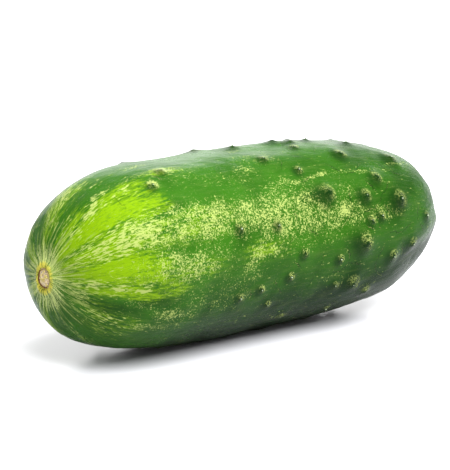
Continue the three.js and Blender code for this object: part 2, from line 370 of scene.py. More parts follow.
def all_warts():
    """Every wart as its place along and around, the name of its size, and how pale its flecks are."""
    warts = []
    for size, places in FRONT_WARTS.items():
        for along, around, pale in places:
            warts.append((along, around, size, pale))
    numbers = seeded_numbers(SCATTER_SEED)
    for row in range(FAR_ROWS):
        for place in range(WARTS_PER_ROW):
            stemward = ROW_START - ROW_GAP * place**ROW_GAP_GROWTH - ROW_SHIFT * (row % 2)
            along = stemward + SCATTER_ALONG * (next(numbers) - 0.5)
            around = FAR_ROWS_FROM + FAR_ROW_STEP * row + SCATTER_AROUND * (next(numbers) - 0.5)
            size = ["small", "middle", "middle", "large"][int(4 * next(numbers))]
            pale = 0.3 + 0.7 * ((row * 5 + place * 3) % 7) / 6
            warts.append((along, around, size, pale))
    return warts


def smooth(value):
    """Eases a value from 0 to 1, flat at both ends."""
    value = np.clip(value, 0, 1)
    return value * value * (3 - 2 * value)


def ramp(value, start, end):
    """Eases from 0 at the start to 1 at the end, which may be the lower of the two."""
    return smooth((value - start) / (end - start))


def ridge(value, height, centre, half_width):
    """A round ridge, or a groove where its height is below 0."""
    return height * np.exp(-(((value - centre) / half_width) ** 2))


def turn_between(around, other):
    """Degrees from other to around, the short way."""
    return (around - other + 180) % 360 - 180


def body_radius(along):
    t = along / LENGTH
    girth = RADIUS * (1 - TAPER * (t - 0.5))
    blossom_share, blossom_power = BLOSSOM_DOME
    stem_share, stem_power = STEM_DOME
    to_blossom = np.clip(1 - t / blossom_share, 0, 1)
    to_stem = np.clip(1 - (1 - t) / stem_share, 0, 1)
    return girth * np.sqrt(1 - to_blossom**blossom_power) * np.sqrt(1 - to_stem**stem_power)


def axis_frame(along):
    """The fruit's axis: its points, its direction and its two cross directions."""
    along = np.asarray(along, float)
    u = 2 * along / LENGTH - 1
    zero = np.zeros_like(along)
    point = np.stack([along - LENGTH / 2, BOW * (1 - u * u), zero], -1)
    slope = -4 * BOW * u / LENGTH
    run = np.sqrt(1 + slope * slope)
    direction = np.stack([1 / run, slope / run, zero], -1)
    side = np.stack([slope / run, -1 / run, zero], -1)
    up = np.cross(side, direction)
    return point, direction, side, up


def lump_height(along, around):
    height = np.zeros(np.broadcast(along, around).shape)
    for lump_along, lump_around, reach, lump in LUMPS:
        across = np.radians(turn_between(around, lump_around)) * RADIUS
        height += lump * np.exp(-((along - lump_along) ** 2 + across**2) / reach**2)
    return height


def body_point(along, around):
    """Points of the smooth body in mm, before the frame places it."""
    along, around = np.broadcast_arrays(np.asarray(along, float), np.asarray(around, float))
    point, _, side, up = axis_frame(along)
    radius = body_radius(along)
    radius = np.where(radius > 0, radius + lump_height(along, around), 0)
    angle = np.radians(around)
    return point + (radius * np.cos(angle))[..., None] * side + (radius * np.sin(angle))[..., None] * up


def body_normal(along, around):
    """Outward directions of the smooth body."""
    step_along, step_around = 0.05, 0.2
    run = body_point(along + step_along, around) - body_point(along - step_along, around)
    turn = body_point(along, around + step_around) - body_point(along, around - step_around)
    normal = np.cross(run, turn)
    return normal / np.linalg.norm(normal, axis=-1, keepdims=True)


def soft_noise(points, wavelength, seed):
    """Smooth noise of about -1 to 1: a sum of sine waves in seeded directions."""
    count = 14
    random = np.random.default_rng(seed)
    directions = random.normal(size=(count, 3))
    directions /= np.linalg.norm(directions, axis=1, keepdims=True)
    lengths = wavelength * random.uniform(0.7, 1.5, count)
    phases = random.uniform(0, 2 * math.pi, count)
    waves = points @ (directions / lengths[:, None]).T * 2 * math.pi + phases
    return np.sin(waves).sum(-1) / math.sqrt(count)


def patch_strength(patches, along, around, edge):
    """The strongest of some soft patches at each place. The higher the edge, the crisper they end."""
    strength = np.zeros(np.broadcast(along, around).shape)
    for centre, turned, reach, spread, density in patches:
        off = abs((along - centre) / reach) ** edge + abs(turn_between(around, turned) / spread) ** edge
        strength = np.maximum(strength, density * np.exp(-0.7 * off))
    return strength


class Skin:
    """The skin's points on a grid of rings, with everything that the material reads from them."""

    def __init__(self, form):
        self.step = form.skin_step / MM
        self.wart_scale = form.wart_height
        self.rib_depth = form.rib_depth / MM
        self.rib_count = form.ribs
        self.lay_grid()
        self.raise_detail()

    def lay_grid(self):
        """Rings at even steps along the skin's outline, with one point more at each tip."""
        fine = np.linspace(0, LENGTH, 4001)
        meridian = np.hypot(np.gradient(fine), np.gradient(body_radius(fine))).cumsum()
        meridian -= meridian[0]
        rings = round(meridian[-1] / self.step)
        stations = np.linspace(0, meridian[-1], rings + 1)[1:-1]
        sectors = round(2 * math.pi * RADIUS / self.step)
        self.rings, self.sectors = len(stations), sectors
        self.stations = stations / meridian[-1]
        self.run = np.concatenate([np.repeat(stations, sectors), [0, meridian[-1]]])
        along = np.interp(stations, meridian, fine)
        around = 270 + 360 * np.arange(sectors) / sectors
        self.along, self.around = (a.ravel() for a in np.meshgrid(along, around, indexing="ij"))
        self.along = np.concatenate([self.along, [0, LENGTH]])
        self.around = np.concatenate([self.around, [270, 270]])

    def raise_detail(self):
        """Lifts the smooth body's points along its normals, and notes what the paint is laid out by."""
        along, around = self.along, self.around
        base = body_point(along, around)
        _, direction, _, _ = axis_frame(along)
        normal = np.empty_like(base)
        normal[:-2] = body_normal(along[:-2], around[:-2])
        normal[-2], normal[-1] = -direction[-2], direction[-1]
        angle = np.radians(around)
        self.girth = body_radius(along)
        self.from_scar = self.distance_from_scar(angle)
        self.rind = np.stack([self.run, RADIUS * np.cos(angle), RADIUS * np.sin(angle)], -1)
        lift = self.wart_lift(along, around) + self.rib_lift(around)
        lift += SWELL_HEIGHT * soft_noise(base * (0.6, 1, 1), wavelength=11, seed=5)
        lift += RIPPLE_HEIGHT * soft_noise(base, wavelength=3.2, seed=6)
        lift += self.blossom_lift(around) + self.stem_lift(along, around)
        self.points = base + lift[:, None] * normal
        self.lowest = base[:, 2].min()

    def distance_from_scar(self, angle):
        """Distance from the middle of the blossom scar, stretched so that the scar is round."""
        to_side, up = BLOSSOM_SCAR_CENTRE
        reach = ramp(self.girth, 16, 6)
        across = (self.girth * np.cos(angle) - to_side * reach) / (1 + (BLOSSOM_SCAR_WIDTH - 1) * reach)
        distance = np.hypot(across, self.girth * np.sin(angle) - up * reach)
        return np.where(self.along < LENGTH / 2, distance, FAR_OFF)

    def rib_lift(self, around):
        """Soft ribs that wander and fade out towards both tips."""
        fade = smooth(self.girth / RADIUS)
        wander = RIB_WANDER * soft_noise(self.rind, wavelength=60, seed=8)
        return self.rib_depth * fade * np.cos(np.radians(self.rib_count * (around + wander)))

    def wart_lift(self, along, around):
        """Broad mounds with a small crown. It notes the nearest wart of every point too."""
        lift = np.zeros_like(along)
        nearest = np.full_like(along, NO_WART)
        self.wart = np.zeros((len(along), 3))
        self.wart[:, 0] = NO_WART
        mound_share, mound_reach = WART_MOUND
        crown_share, crown_reach = WART_CROWN
        for wart_along, wart_around, size, pale in all_warts():
            half_width, height = WART_SIZES[size]
            girth = body_radius(np.array(float(wart_along)))
            off_along = (along - wart_along) / half_width
            off_around = np.radians(turn_between(around, wart_around)) * girth / half_width
            far = np.hypot(off_along, off_around)
            mound = ridge(far, mound_share * height, 0, mound_reach)
            crown = crown_share * height * ramp(far, crown_reach, 0)
            lift += self.wart_scale * (mound + crown)
            closer = far < nearest
            nearest = np.where(closer, far, nearest)
            self.wart[closer] = np.stack([off_along, off_around, np.full_like(far, pale)], -1)[closer]
        return lift

    def blossom_lift(self, around):
        """The seat of the blossom scar, the lip round it and the fine wrinkles that run from it."""
        r = self.from_scar
        seat_edge = BLOSSOM_SCAR_RADIUS + BLOSSOM_SEAT_MARGIN
        seat = -BLOSSOM_SEAT_DEPTH * ramp(r, seat_edge, seat_edge - BLOSSOM_SEAT_WALL)
        wrinkle = sum(
            share * np.cos(np.radians(count * around + wander * soft_noise(self.rind, wavelength, seed)))
            for share, count, wander, wavelength, seed in WRINKLES
        )
        wrinkle *= WRINKLE_HEIGHT * ramp(r, *WRINKLE_RISE) * ramp(r, *WRINKLE_FADE)
        return seat + ridge(r, *BLOSSOM_LIP) + ridge(r, *BLOSSOM_DIP) + wrinkle

    def stem_lift(self, along, around):
        """The dimple of the stem scar, between low shoulders."""
        r = np.where(along > LENGTH - STEM_END, self.girth, FAR_OFF)
        dimple = -STEM_DIMPLE_DEPTH * ramp(r, STEM_DIMPLE_RADIUS, STEM_DIMPLE_RADIUS - STEM_DIMPLE_WALL)
        shoulder = ridge(r, *STEM_SHOULDER) * (1 + 0.6 * np.cos(np.radians(5 * around + 40)))
        return dimple + shoulder

    def faces(self):
        quads = []
        m = self.sectors
        ring = np.arange(m)
        after = (ring + 1) % m
        for i in range(self.rings - 1):
            near, far = i * m, (i + 1) * m
            quads.append(np.stack([near + ring, far + ring, far + after, near + after], -1))
        blossom, stem = self.rings * m, self.rings * m + 1
        last = (self.rings - 1) * m
        fans = [(blossom, int(a), int(b)) for a, b in zip(ring, after)]
        fans += [(stem, int(last + b), int(last + a)) for a, b in zip(ring, after)]
        return np.concatenate(quads).tolist() + fans

    def uv(self):
        """One cylindrical sheet whose seam runs along the underside."""
        m = self.sectors
        v = np.concatenate([[0], self.stations, [1]])
        ring = np.arange(m)
        left, right = ring / m, (ring + 1) / m
        corners = []
        for i in range(self.rings - 1):
            near, far = np.full(m, v[i + 1]), np.full(m, v[i + 2])
            quad = np.stack([left, near, left, far, right, far, right, near], -1)
            corners.append(quad.ravel())
        middle = (left + right) / 2
        first, last = np.full(m, v[1]), np.full(m, v[-2])
        zero, one = np.zeros(m), np.ones(m)
        corners.append(np.stack([middle, zero, left, first, right, first], -1).ravel())
        corners.append(np.stack([middle, one, right, last, left, last], -1).ravel())
        return np.concatenate(corners)


class Placement:
    """Carries points in mm to the frame: the fruit fills the length of its box and rests on its bottom."""

    def __init__(self, points, lowest):
        low, high = (np.array(corner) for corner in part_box(NODE))
        near, far = points.min(0), points.max(0)
        self.scale = (high[0] - low[0]) / (far[0] - near[0])
        self.offset = (low + high - (near + far) * self.scale) / 2
        self.offset[2] = low[2] - (lowest + GROUND_SPOT_DEPTH) * self.scale
        self.floor = low[2]

    def apply(self, points):
        placed = points * self.scale + self.offset
        placed[..., 2] = np.maximum(placed[..., 2], self.floor)
        return placed


def make_piece(name, points, faces, material):
    """A smooth mesh object that rides on the fruit's body."""
    mesh = bpy.data.meshes.new(name)
    mesh.from_pydata(points.tolist(), [], faces)
    mesh.validate()
    mesh.polygons.foreach_set("use_smooth", [True] * len(mesh.polygons))
    mesh.materials.append(material)
    piece = bpy.data.objects.new(name, mesh)
    bpy.context.scene.collection.objects.link(piece)
    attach(piece, "root")
    return piece


def add_attribute(mesh, name, kind, values):
    attribute = mesh.attributes.new(name, kind, "POINT")
    field = "value" if kind == "FLOAT" else "vector"
    attribute.data.foreach_set(field, np.asarray(values, np.float32).ravel())


# Materials ----------------------------------------------------------------------------------------


class Nodes:
    """A short hand for building one material's nodes."""

    def __init__(self, name):
        self.material = bpy.data.materials.new(name)
        self.material.use_nodes = True
        self.tree = self.material.node_tree
        self.shader = self.tree.nodes["Principled BSDF"]

    def plug(self, socket, value):
        if isinstance(value, bpy.types.NodeSocket):
            self.tree.links.new(value, socket)
        elif hasattr(value, "__len__") and len(value) == 3 and socket.type == "RGBA":
            socket.default_value = (*value, 1)
        else:
            socket.default_value = value

    def add(self, kind, inputs=(), **settings):
        node = self.tree.nodes.new(kind)
        for key, value in settings.items():
            setattr(node, key, value)
        for key, value in dict(inputs).items():
            self.plug(node.inputs[key], value)
        return node

    def math(self, operation, *values, clamp=False):
        node = self.add("ShaderNodeMath", dict(enumerate(values)), operation=operation, use_clamp=clamp)
        return node.outputs[0]

    def plus(self, first, second, clamp=False):
        return self.math("ADD", first, second, clamp=clamp)

    def times(self, first, second, clamp=False):
        return self.math("MULTIPLY", first, second, clamp=clamp)

    def most(self, first, second):
        return self.math("MAXIMUM", first, second)

    def vector(self, operation, *values):
        node = self.add("ShaderNodeVectorMath", dict(enumerate(values)), operation=operation)
        return node.outputs["Value" if operation == "LENGTH" else "Vector"]

    def attribute(self, name, output="Fac"):
        return self.add("ShaderNodeAttribute", attribute_name=name).outputs[output]

    def object_place(self):
        return self.add("ShaderNodeTexCoord").outputs["Object"]

    def noise(self, where, scale, detail=2.0, roughness=0.5, distortion=0.0):
        inputs = {"Vector": where, "Scale": scale, "Detail": detail}
        inputs |= {"Roughness": roughness, "Distortion": distortion}
        return self.add("ShaderNodeTexNoise", inputs).outputs["Fac"]

    def cracks(self, where, scale):
        """Distance to the nearest of the lines between scattered cells."""
        inputs = {"Vector": where, "Scale": scale}
        return self.add("ShaderNodeTexVoronoi", inputs, feature="DISTANCE_TO_EDGE").outputs["Distance"]

    def range(self, value, low, high, to_low=0.0, to_high=1.0, ease="SMOOTHSTEP"):
        inputs = {"Value": value, "From Min": low, "From Max": high, "To Min": to_low, "To Max": to_high}
        return self.add("ShaderNodeMapRange", inputs, interpolation_type=ease).outputs["Result"]

    def mix(self, share, first, second):
        node = self.add("ShaderNodeMix", data_type="RGBA")
        for index, value in ((0, share), (6, first), (7, second)):
            self.plug(node.inputs[index], value)
        return node.outputs[2]

    def bump(self, height, distance, below=None):
        inputs = {"Height": height, "Distance": distance, "Strength": 1.0}
        if below is not None:
            inputs["Normal"] = below
        return self.add("ShaderNodeBump", inputs).outputs["Normal"]

    def finish(self, **inputs):
        for key, value in inputs.items():
            self.plug(self.shader.inputs[key.replace("_", " ").title()], value)
        return self.material


class SkinLayers:
    """The layers of the skin's finish, and the noises that they share. All are laid out along the rind."""

    def __init__(self, n, colours):
        self.nodes = n
        self.colours = colours
        self.rind = n.attribute("rind", "Vector")
        self.streaks = n.noise(self.stretched(0.16, 1), 1.0, detail=4, roughness=0.65, distortion=0.3)
        self.dashes = n.noise(self.stretched(0.30, 1), 2.0, detail=3, roughness=0.6, distortion=0.5)
        self.rays = n.noise(self.stretched(0.09, 0.40), 1.5, detail=3, roughness=0.6, distortion=0.25)
        self.grains = n.noise(self.rind, 2.2, roughness=0.65, distortion=0.8)
        self.clouds = n.noise(self.rind, 0.10, detail=3)
        self.clumps = n.noise(self.stretched(0.10, 0.22), 1.0)
        self.crumbs = n.noise(self.rind, 2.8, roughness=0.6)
        wart = n.add("ShaderNodeSeparateXYZ", {"Vector": n.attribute("wart", "Vector")})
        self.stemward, self.turned, self.paleness = wart.outputs
        off_wart = n.add("ShaderNodeCombineXYZ", {"X": self.stemward, "Y": self.turned})
        self.off_wart = off_wart.outputs["Vector"]
        uneven = n.range(self.crumbs, 0.3, 0.7, -0.25, 0.25)
        self.ragged = n.plus(n.vector("LENGTH", self.off_wart), uneven)
        self.pale = self.pale_marks()

    def stretched(self, along, across):
        return self.nodes.vector("MULTIPLY", self.rind, (along, across, across))

    def marks(self, noise, paint, paint_most, bar, ease):
        """Where a noise passes a bar, which falls as the paint gets denser."""
        n = self.nodes
        lowered = n.range(n.attribute(paint), 0, paint_most, *bar, "LINEAR")
        return n.range(n.plus(noise, lowered), *ease)

    def pale_marks(self):
        """Even speckles, dashes along the fruit, and long broken rays that run into the blossom scar."""
        n = self.nodes
        speckles = self.marks(self.grains, "speckled", PAINT_MOST, (-0.69, -0.38), (-0.01, 0.13))
        dashes = self.marks(self.dashes, "dashed", PAINT_MOST, (-0.66, -0.33), (0.0, 0.09))
        rays = self.marks(self.rays, "rays", 1, (-0.68, -0.48), (0.0, 0.08))
        rays = n.times(rays, n.range(n.attribute("rays"), 0.0, 0.5))
        rays = n.times(rays, n.range(self.clumps, 0.35, 0.6, 0.25, 1.0))
        rays = n.times(rays, n.range(self.grains, 0.38, 0.55, 0.35, 1.0))
        return n.most(n.most(speckles, dashes), n.times(rays, 0.85))

    def greens(self):
        """Green that clouds into deep green, with faint streaks, and lime that frays into both."""
        n, colours = self.nodes, self.colours
        # The deep paint carries painted shade too: over the underside and beside the warts
        tone = n.plus(n.attribute("deep"), n.range(self.clouds, 0.35, 0.65, -0.14, 0.14), clamp=True)
        base = n.mix(tone, colours.green, colours.deep_green)
        base = n.mix(n.times(n.range(self.streaks, 0.45, 0.75), 0.06), base, colours.speckle)
        lime = n.attribute("lime")
        streaked = n.range(self.streaks, 0.3, 0.7, -0.3, 0.3)
        dashed = n.range(self.dashes, 0.35, 0.65, -0.22, 0.22)
        fray = n.times(n.plus(streaked, dashed), n.range(lime, 0.0, 0.3))
        base = n.mix(n.range(n.plus(lime, fray), 0.0, 1.05), base, colours.lime)
        shade = n.times(n.range(self.dashes, 0.52, 0.30), n.range(lime, 0.2, 1.0, 0.0, 0.35))
        return n.mix(shade, base, colours.green)

    def flecks(self, base):
        return self.nodes.mix(self.nodes.times(self.pale, 0.92), base, self.colours.speckle)

    def warts(self, base):
        """Painted shade on the blossom side of each wart and below it, a dark tip, and pale crumbs on its
        shoulder, more on one side.
        """
        n, colours = self.nodes, self.colours
        # hollow is painted shade: deep green laid off-centre, towards the blossom side and below each wart
        hollow = n.vector("LENGTH", n.vector("ADD", self.off_wart, (0.6, 0.3, 0)))
        base = n.mix(n.times(n.range(hollow, 2.2, 0.6), 0.65), base, colours.deep_green)
        tip = n.times(n.range(self.ragged, 0.62, 0.28), n.range(self.paleness, 1.0, 1.6, 0.7, 0.1))
        base = n.mix(tip, base, colours.deep_green)
        shoulder = n.times(n.range(self.ragged, 1.45, 1.15), n.range(self.ragged, 0.38, 0.52))
        shoulder = n.times(shoulder, self.paleness, clamp=True)
        crumbed = n.plus(self.crumbs, n.range(self.paleness, 1.0, 1.6, 0.0, 0.08))
        dots = n.times(shoulder, n.range(crumbed, 0.50, 0.56))
        one_side = n.range(n.plus(self.stemward, self.turned), -0.8, 0.6, 0.05, 1.0)
        return n.mix(n.times(dots, one_side), base, colours.speckle)

    def scar_halo(self, base):
        """The cream halo round the scars and the blossom scar's yellow ring, broken by rays and grains."""
        n, colours = self.nodes, self.colours
        in_rays = n.range(self.rays, 0.38, 0.62, 0.2, 1.3)
        broken = n.plus(in_rays, n.range(self.grains, 0.35, 0.65, -0.6, 0.8))
        halo = n.times(n.attribute("halo"), broken)
        base = n.mix(n.range(halo, 0.25, 0.9, 0.0, 0.75), base, colours.cream)
        ring = n.times(n.attribute("yellow_ring"), broken)
        return n.mix(n.range(ring, 0.15, 0.75, 0.0, 0.9), base, colours.yellow)

    def ground_spot(self, base):
        n = self.nodes
        spot = n.times(n.attribute("ground_spot"), n.range(self.streaks, 0.35, 0.6, 0.5, 1.0))
        return n.mix(spot, base, self.colours.ground_spot)

    def roughness(self):
        """Satin wax, duller on the flecks and the warts."""
        n = self.nodes
        dull = n.most(n.times(self.pale, 0.5), n.range(self.ragged, 0.6, 0.2))
        return n.plus(n.range(dull, 0, 1, *SKIN_ROUGHNESS), n.range(self.clouds, 0.3, 0.7, -0.03, 0.03))

    def relief(self):
        """Fine leather all over, crumbs on the warts' tips, and grooves along the streaks."""
        n = self.nodes
        leather = n.bump(n.noise(self.rind, 2.2, detail=3, roughness=0.6), LEATHER_DEPTH)
        tips = n.bump(n.times(self.crumbs, n.range(self.ragged, 1.0, 0.4)), CRUMB_DEPTH, leather)
        return n.bump(self.streaks, GROOVE_DEPTH, tips)


def skin_material(colours):
    n = Nodes("cucumber_skin")
    layers = SkinLayers(n, colours)
    base = layers.greens()
    for layer in (layers.flecks, layers.warts, layers.scar_halo, layers.ground_spot):
        base = layer(base)
    n.shader.inputs["IOR"].default_value = SKIN_IOR
    return n.finish(base_color=base, roughness=layers.roughness(), normal=layers.relief())


def cork_material(name, colours, scale, dark_share, pale_share):
    """Dry corky tissue: pale crumbs, yellow and grey flecks, dark cracks and a dark torn edge, which on the
    blossom scar also holds painted shade on one side.
    """
    n = Nodes(name)
    place = n.attribute("scar_place", "Vector")
    crumbs = n.noise(place, scale, detail=5, roughness=0.7)
    blotch = n.noise(place, scale * 0.5, detail=3, roughness=0.6)
    cracks = n.cracks(place, scale * 0.8)
    base = n.mix(n.range(crumbs, 0.30, 0.52, 0.0, pale_share), colours.cork, colours.cork_pale)
    base = n.mix(n.range(blotch, 0.46, 0.58, 0.0, 0.75), base, colours.yellow)
    base = n.mix(n.range(blotch, 0.42, 0.34, 0.0, 0.8), base, colours.cork_grey)
    base = n.mix(n.times(n.range(cracks, 0.10, 0.02), dark_share), base, colours.cork_dark)
    # torn is the dark torn edge, with painted shade on one side of the blossom scar
    torn = n.plus(n.attribute("torn"), n.range(crumbs, 0.35, 0.65, -0.35, 0.25))
    base = n.mix(n.range(torn, 0.35, 0.75), base, colours.cork_dark)
    relief = n.plus(crumbs, n.range(cracks, 0.15, 0.0, 0.0, -0.6))
    return n.finish(base_color=base, roughness=CORK_ROUGHNESS, normal=n.bump(relief, CORK_DEPTH))


def spine_material(colours):
    n = Nodes("spine_scar")
    mottle = n.noise(n.object_place(), 2500, detail=3, roughness=0.6)
    base = n.mix(n.range(mottle, 0.4, 0.6), colours.spine, colours.spine_pale)
    return n.finish(base_color=base, roughness=SPINE_ROUGHNESS, normal=n.bump(mottle, SPINE_DEPTH))


def floor_material(colour):
    n = Nodes("studio_floor")
    haze = n.noise(n.object_place(), 3)
    return n.finish(base_color=colour, roughness=n.range(haze, 0, 1, *FLOOR_ROUGHNESS))


# Paint --------------------------------------------------------------------------------------------


def green_depth_and_underside_shade(along, around):
    """The green deepens towards the stem end and pales at the blossom end, and painted shade darkens the
    underside.
    """
    # low is painted shade over the underside, weaker towards the blossom end
    low = ramp(np.abs(turn_between(around, 270)), 95, 35) * (1 - 0.55 * ramp(along, 45, 20))
    return 0.10 + 0.45 * ramp(along, 50, 115) + low - 0.3 * ramp(along, 34, 4)


def patch_paint(skin):
    """How strongly each kind of patch shows at every point of the skin."""
    wander_along, wander_around = PATCH_WANDER
    turned = skin.around + wander_around * soft_noise(skin.rind, PATCH_WANDER_LENGTH, seed=21)
    shifted = skin.along + wander_along * soft_noise(skin.rind, PATCH_WANDER_LENGTH, seed=22)
    clumps = 0.5 * soft_noise(skin.rind, wavelength=5, seed=23)
    clumps += 0.5 * soft_noise(skin.rind, wavelength=2.4, seed=24)
    paint = {}
    for name, (patches, edge) in PATCH_KINDS.items():
        paint[name] = patch_strength(patches, shifted, turned, edge)
    for name in ("speckled", "dashed"):
        paint[name] *= 1 + CLUMPING * clumps
    paint["speckled"] += STRAY_SPECKLES * ramp(skin.along, 112, 62)
    # The deep paint also carries the painted shade of the underside
    paint["deep"] += green_depth_and_underside_shade(skin.along, skin.around)
    return paint


def ground_spot_paint(skin):
    """An uneven oval where the fruit lay on the soil."""
    centre_along, centre_around = GROUND_SPOT_CENTRE
    reach_along, reach_around = GROUND_SPOT_REACH
    off_along = (skin.along - centre_along) / reach_along
    off_around = turn_between(skin.around, centre_around) / reach_around
    oval = 0.7 * (1.2 - off_along**2 - off_around**2)
    fray = 0.20 * soft_noise(skin.rind, wavelength=16, seed=25)
    fray += 0.15 * soft_noise(skin.rind, wavelength=5, seed=26)
    return {"ground_spot": GROUND_SPOT_STRENGTH * smooth(oval + fray)}


def scar_paint(skin):
    """The yellow ring, the halo and the rays of the blossom scar, and the fainter halo of the stem scar."""
    near_blossom = skin.along < LENGTH / 2
    stem_halo = 0.5 * ramp(skin.girth, 6.5, 3.5) * ~near_blossom
    return {
        "yellow_ring": ramp(skin.from_scar, 4.9, 2.9),
        "halo": ramp(skin.from_scar, 12.0, 2.5) + stem_halo,
        "rays": near_blossom * ramp(skin.girth, 19, 6),
    }


# Operators ----------------------------------------------------------------------------------------

BUILT = {}  # the placement that the skin sets, for the pieces that stand on it


class CUCUMBER_OT_skin(bpy.types.Operator):
    """Build the warty skin with its speckled bands and lime patches"""

    bl_idname = "cucumber.add_skin"
    bl_label = "Add Skin"

    def execute(self, context):
        skin = Skin(context.scene.cucumber_form)
        placement = Placement(skin.points, skin.lowest)
        material = skin_material(context.scene.cucumber_colours)
        piece = make_piece("cucumber_skin", placement.apply(skin.points), skin.faces(), material)
        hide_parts(NODE)
        self.add_bake_map(piece.data, skin.uv())
        self.paint(piece.data, skin)
        BUILT["placement"] = placement
        return {"FINISHED"}

    def add_bake_map(self, mesh, uv):
        if len(uv) != 2 * len(mesh.loops):
            raise RuntimeError("the skin's unwrap doesn't match its faces")
        layer = mesh.uv_layers.new(name="OFBake")
        layer.data.foreach_set("uv", uv.astype(np.float32))

    def paint(self, mesh, skin):
        for paint in (patch_paint(skin), ground_spot_paint(skin), scar_paint(skin)):
            for name, strength in paint.items():
                add_attribute(mesh, name, "FLOAT", np.clip(strength, 0, PAINT_MOST))
        add_attribute(mesh, "rind", "FLOAT_VECTOR", skin.rind)
        add_attribute(mesh, "wart", "FLOAT_VECTOR", skin.wart)


def scar_mesh(radius, height_at, seed, tip_along, outward, depth, width=1.0, centre=(0.0, 0.0)):
    """A closed round scar on a tip of the fruit: rings from its middle to its edge, and a flat back.

    It gives the points, the faces, the points in the scar's own place, and each point's share of the
    radius.
    """
    rings, sectors = 30, 120
    r = np.linspace(0, radius, rings + 1)[1:]
    angle = 2 * math.pi * np.arange(sectors) / sectors
    rr, aa = (a.ravel() for a in np.meshgrid(r, angle, indexing="ij"))
    local = np.stack([rr * np.cos(aa), rr * np.sin(aa), np.zeros_like(rr)], -1)
    ragged = 1 + 0.05 * (rr / radius) ** 4 * soft_noise(local, wavelength=1.6, seed=seed)
    local[:, :2] *= ragged[:, None]
    local[:, 2] = height_at(rr / radius, aa, local)
    middle = height_at(np.zeros(1), np.zeros(1), np.zeros((1, 3)))[0]
    back = local[-sectors:].copy()
    back[:, 2] = -depth
    local = np.concatenate([local, back, [[0, 0, middle], [0, 0, -depth]]])
    top, bottom = rings * sectors + sectors, rings * sectors + sectors + 1
    faces = []
    for s in range(sectors):
        e = (s + 1) % sectors
        faces.append((top, s, e))
        for i in range(rings):
            near, far = i * sectors, (i + 1) * sectors
            faces.append((near + s, far + s, far + e, near + e))
        last = rings * sectors
        faces.append((last + s, bottom, last + e))
    point, direction, side, up = (v[0] for v in axis_frame(np.array([float(tip_along)])))
    across = local[:, :1] * width + centre[0] * outward
    placed = point + across * side * outward + (local[:, 1:2] + centre[1]) * up
    placed = placed + local[:, 2:] * direction * outward
    share = np.concatenate([rr / radius, np.ones(sectors), [0, 1]])
    return placed, faces, local, share


def make_scar(name, points, faces, material, local, torn):
    piece = make_piece(name, BUILT["placement"].apply(points), faces, material)
    add_attribute(piece.data, "torn", "FLOAT", torn)
    add_attribute(piece.data, "scar_place", "FLOAT_VECTOR", local)


class CUCUMBER_OT_blossom_scar(bpy.types.Operator):
    """Build the corky disc that the flower left, in its torn brown ring"""

    bl_idname = "cucumber.add_blossom_scar"
    bl_label = "Add Blossom Scar"

    def execute(self, context):
        points, faces, local, share = scar_mesh(
            radius=BLOSSOM_SCAR_RADIUS,
            height_at=self.height,
            seed=33,
            tip_along=0,
            outward=-1,
            depth=BLOSSOM_SEAT_DEPTH + BLOSSOM_SCAR_ROOT,
            width=BLOSSOM_SCAR_WIDTH,
            centre=BLOSSOM_SCAR_CENTRE,
        )
        colours = context.scene.cucumber_colours
        material = cork_material("blossom_scar", colours, scale=2.2, dark_share=0.5, pale_share=1.0)
        make_scar("blossom_scar", points, faces, material, local, self.torn(local, share))
        return {"FINISHED"}

    @staticmethod
    def height(share, angle, place):
        """A crumbly mound in a groove, with a raised edge."""
        crumbs = 0.10 * soft_noise(place, wavelength=0.9, seed=31)
        crumbs += 0.05 * soft_noise(place, wavelength=0.4, seed=32)
        mound = 0.05 + 0.16 * ramp(share, 0.75, 0.45)
        groove = ridge(share, -0.20, 0.86, 0.07)
        edge = 0.12 * ramp(share, 0.92, 0.98)
        return BLOSSOM_SCAR_LEVEL + mound + groove + edge + crumbs * (1 - 0.5 * share)

    @staticmethod
    def torn(local, share):
        """A dark ring near the edge, the scar's torn edge, with painted shade that makes it wider and
        darker on one side.
        """
        shade_lean = np.cos(np.arctan2(local[:, 1], local[:, 0]) - math.radians(SCAR_SHADED_SIDE))
        return ridge(share, 0.85 + 0.15 * shade_lean, 0.93, 0.08 + 0.04 * shade_lean)


class CUCUMBER_OT_stem_scar(bpy.types.Operator):
    """Build the dry button in the dimple where the stem broke away"""

    bl_idname = "cucumber.add_stem_scar"
    bl_label = "Add Stem Scar"

    def execute(self, context):
        points, faces, local, share = scar_mesh(
            radius=STEM_SCAR_RADIUS,
            height_at=self.height,
            seed=43,
            tip_along=LENGTH,
            outward=1,
            depth=STEM_DIMPLE_DEPTH + STEM_SCAR_ROOT,
        )
        colours = context.scene.cucumber_colours
        material = cork_material("stem_scar", colours, scale=1.8, dark_share=0.9, pale_share=0.35)
        make_scar("stem_scar", points, faces, material, local, 0.55 * ramp(share, 0.75, 1.0))
        return {"FINISHED"}

    @staticmethod
    def height(share, angle, place):
        """A crumbly button with a rim, five soft bundles inside it, and a steep foot."""
        crumbs = 0.12 * soft_noise(place, wavelength=1.1, seed=41)
        crumbs += 0.05 * soft_noise(place, wavelength=0.45, seed=42)
        rim = ridge(share, 0.40, 0.84, 0.10)
        bundles = ridge(share, 0.12, 0.5, 0.12) * np.cos(5 * angle)
        foot = -0.55 * ramp(share, 0.92, 1.0)
        return STEM_SCAR_LEVEL + rim + bundles + foot + crumbs


